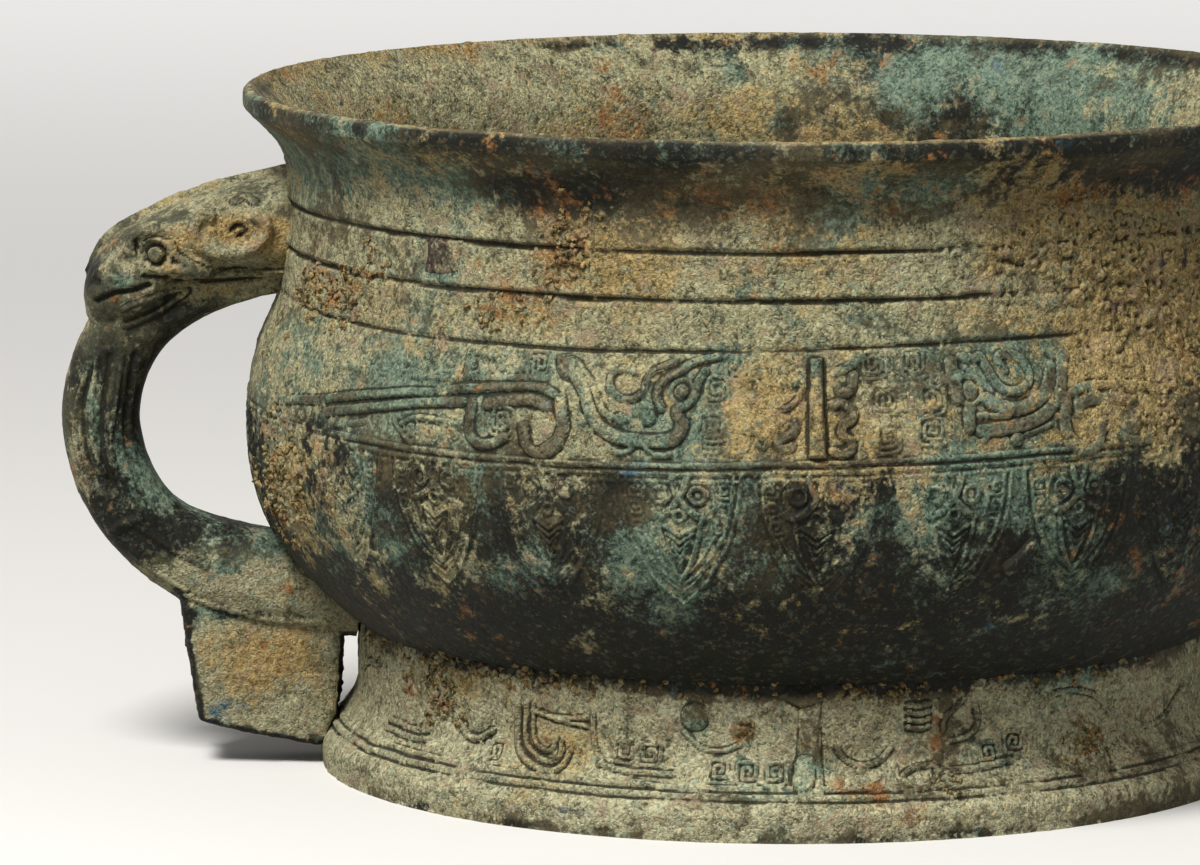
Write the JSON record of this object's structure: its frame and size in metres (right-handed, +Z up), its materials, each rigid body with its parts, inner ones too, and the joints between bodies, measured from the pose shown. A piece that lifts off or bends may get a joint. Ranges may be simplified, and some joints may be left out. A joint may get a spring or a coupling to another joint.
{
  "type": "bronze gui vessel",
  "caption": "Round footed food bowl in cast bronze with flared lip, bird frieze, hanging blades and animal-headed loop handles.",
  "frame": {"origin": "centre of the circle that the foot stands on, at table height", "axes": "+Z up out of the mouth, +X towards one handle, -Y towards the front"},
  "size_m": [0.2818, 0.2132, 0.132],
  "materials": {
    "bronze_bowl": "matte",
    "bronze_foot": "matte",
    "bronze_handle": "matte",
    "spacer_bronze": "matte",
    "fired_clay": "matte"
  },
  "bodies": {
    "root": {"bowl": "bronze_bowl", "ring_foot": "bronze_foot", "handle_right": "bronze_handle", "handle_left": "bronze_handle", "handle_core_right": "fired_clay", "handle_core_left": "fired_clay", "neck_spacer_1": "spacer_bronze", "neck_spacer_2": "spacer_bronze", "neck_spacer_3": "spacer_bronze", "neck_spacer_4": "spacer_bronze", "floor_spacer_1": "spacer_bronze", "floor_spacer_2": "spacer_bronze", "floor_spacer_3": "spacer_bronze", "floor_spacer_4": "spacer_bronze"}
  },
  "joints": []
}
